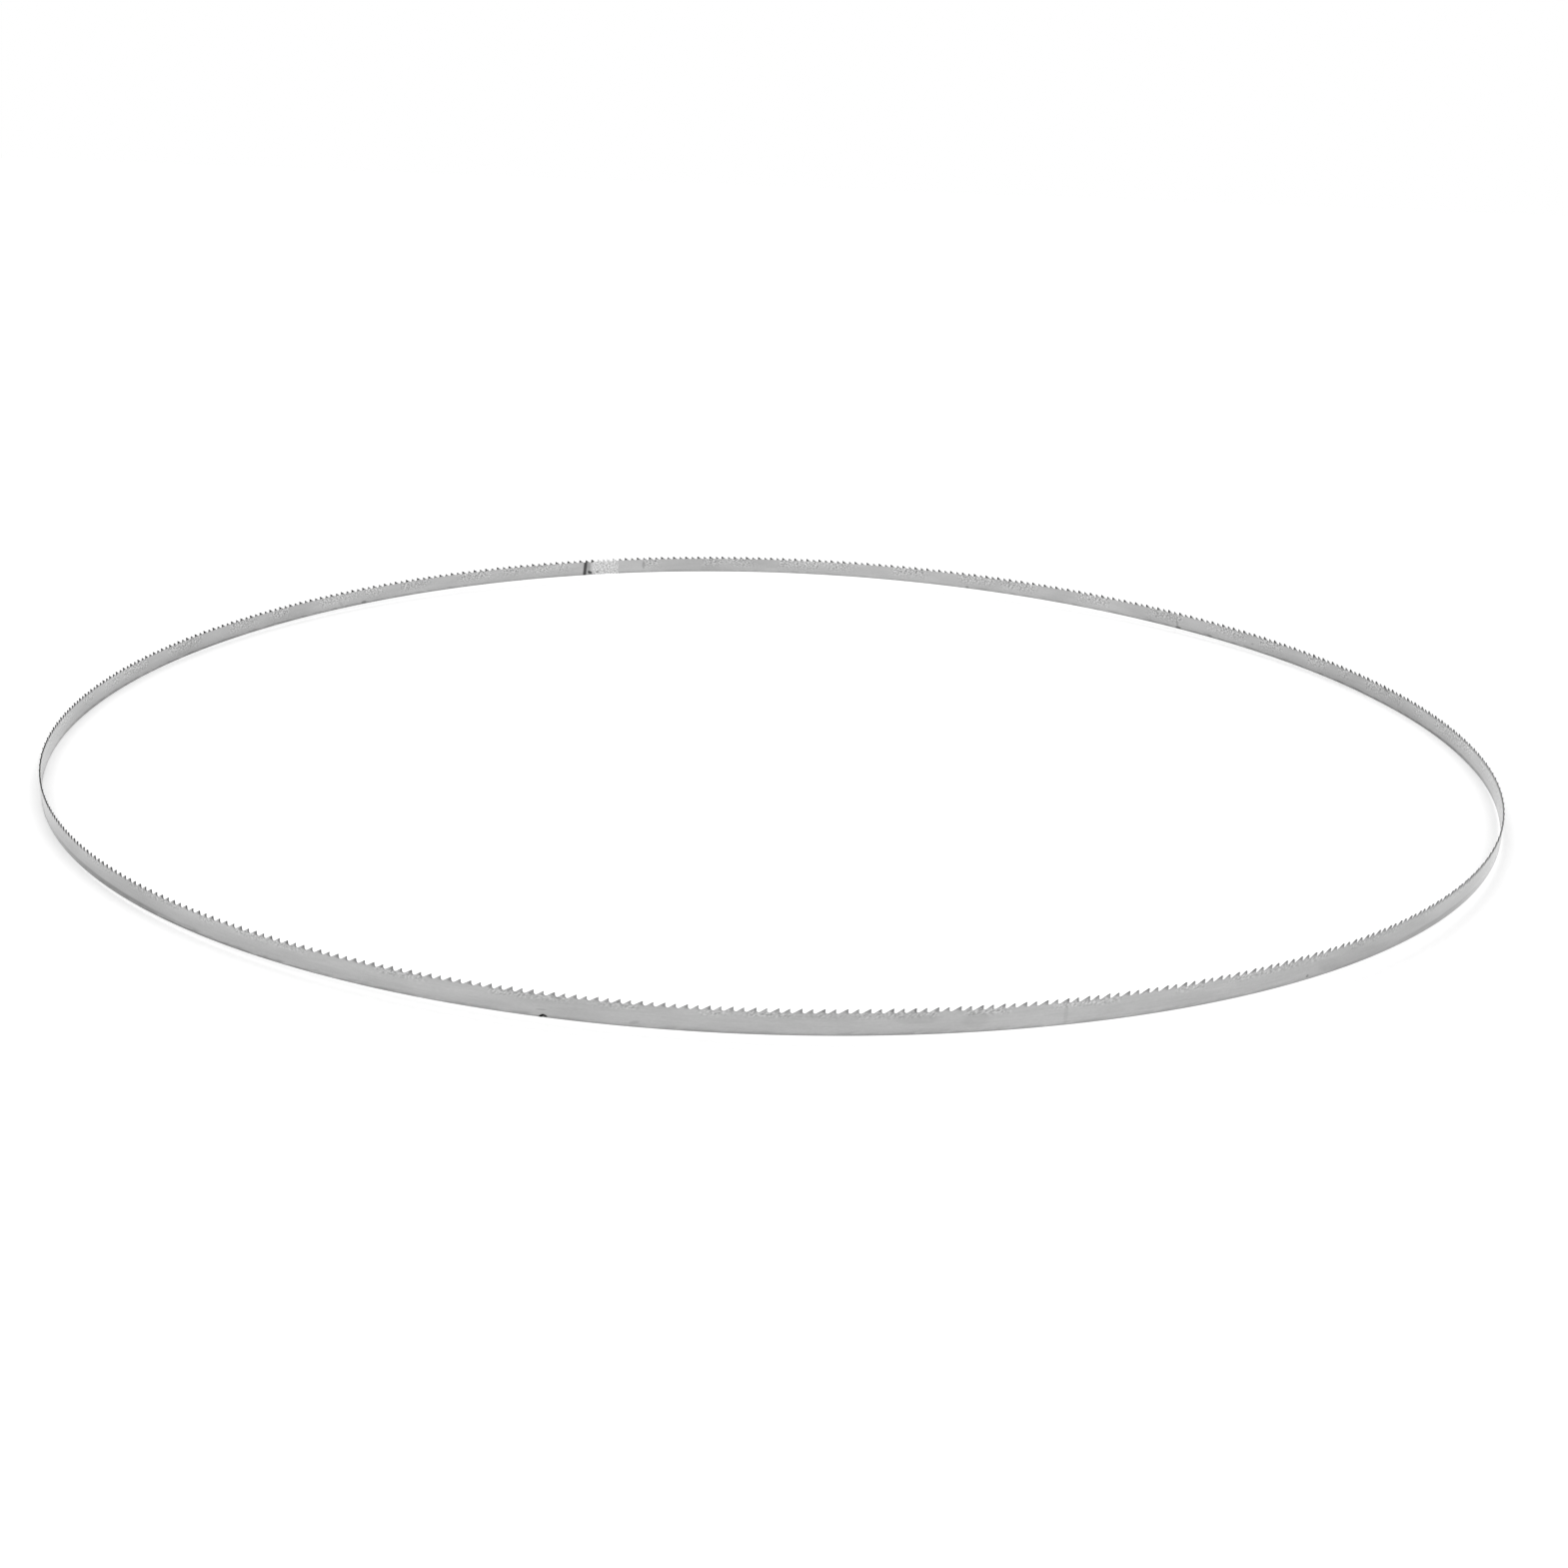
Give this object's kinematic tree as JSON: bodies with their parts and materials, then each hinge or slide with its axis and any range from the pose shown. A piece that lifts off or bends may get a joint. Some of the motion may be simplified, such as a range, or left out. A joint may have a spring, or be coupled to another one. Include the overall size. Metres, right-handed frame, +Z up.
{
  "type": "band saw blade",
  "caption": "Endless band saw blade: a narrow toothed strip of spring steel, butt welded into a loop. It stands on its back edge with the teeth up.",
  "frame": {"origin": "middle of the loop, level with the lowest places of its back edge", "axes": "+Z up, the way the tooth points stand; X and Y lie in the plane of the loop, and the teeth point anticlockwise seen from above"},
  "size_m": [0.4474, 0.4454, 0.0103],
  "materials": {
    "spring_steel": "bright cold rolled strip with a satin surface, fine lengthwise grain, darker edges and a ground zone at the weld"
  },
  "bodies": {
    "root": {"toothed_band": "spring_steel"}
  },
  "joints": []
}
